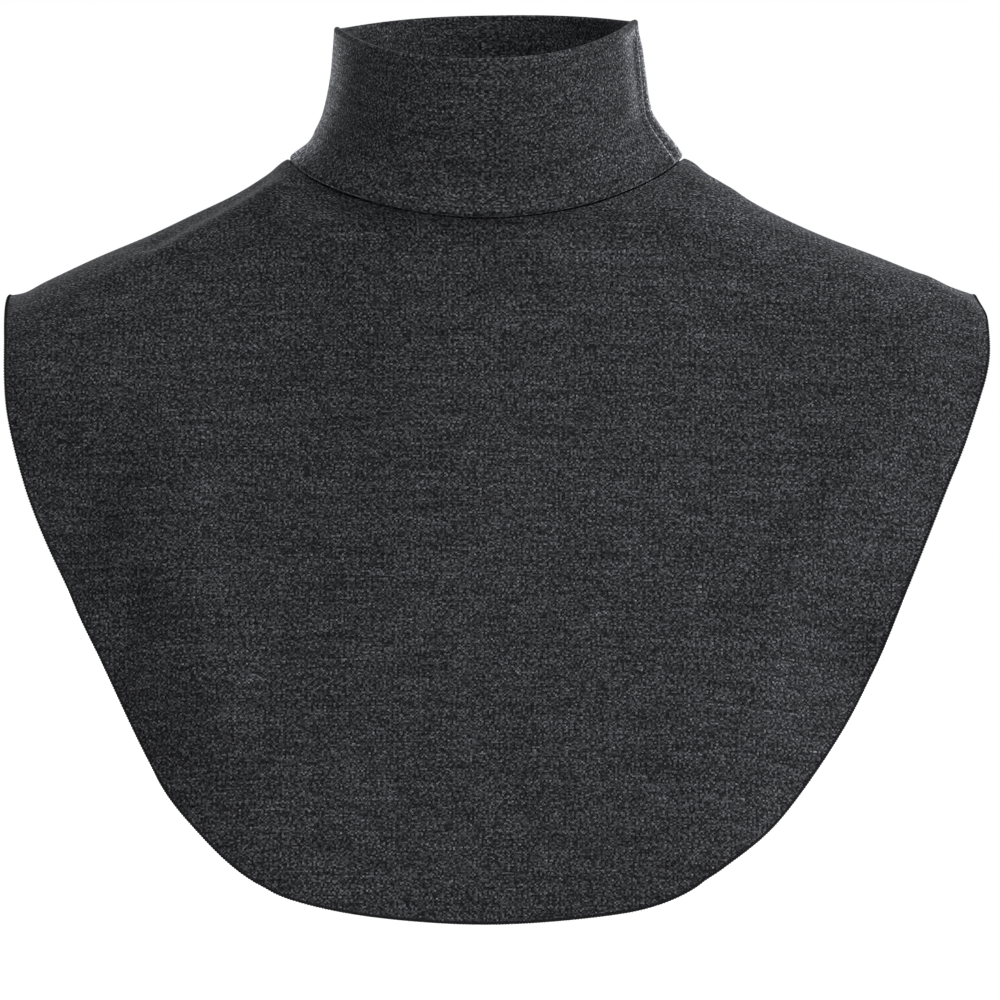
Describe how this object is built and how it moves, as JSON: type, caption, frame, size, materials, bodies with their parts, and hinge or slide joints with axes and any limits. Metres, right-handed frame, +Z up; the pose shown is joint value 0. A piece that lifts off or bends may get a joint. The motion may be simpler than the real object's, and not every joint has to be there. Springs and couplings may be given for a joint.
{
  "type": "neck cover",
  "caption": "Pull-on jersey neck cover in its worn form: a standing mock-neck collar on a rounded front and back yoke with overlocked edges.",
  "frame": {"origin": "middle of the neck at the level where the two shoulder lines meet the collar seam", "axes": "+Z up along the neck, -Y to the front of the wearer, +X to the right as seen from the front"},
  "size_m": [0.3755, 0.2133, 0.3453],
  "materials": {
    "jersey": "matt charcoal melange jersey knit with a fine light fibre fleck",
    "thread": "matt near-black overlock thread"
  },
  "bodies": {
    "root": {"collar": "jersey", "front_panel": "jersey", "back_panel": "jersey", "neck_seam": "thread", "shoulder_seam_left": "thread", "shoulder_seam_right": "thread", "front_edge": "thread", "back_edge": "thread"}
  },
  "joints": []
}
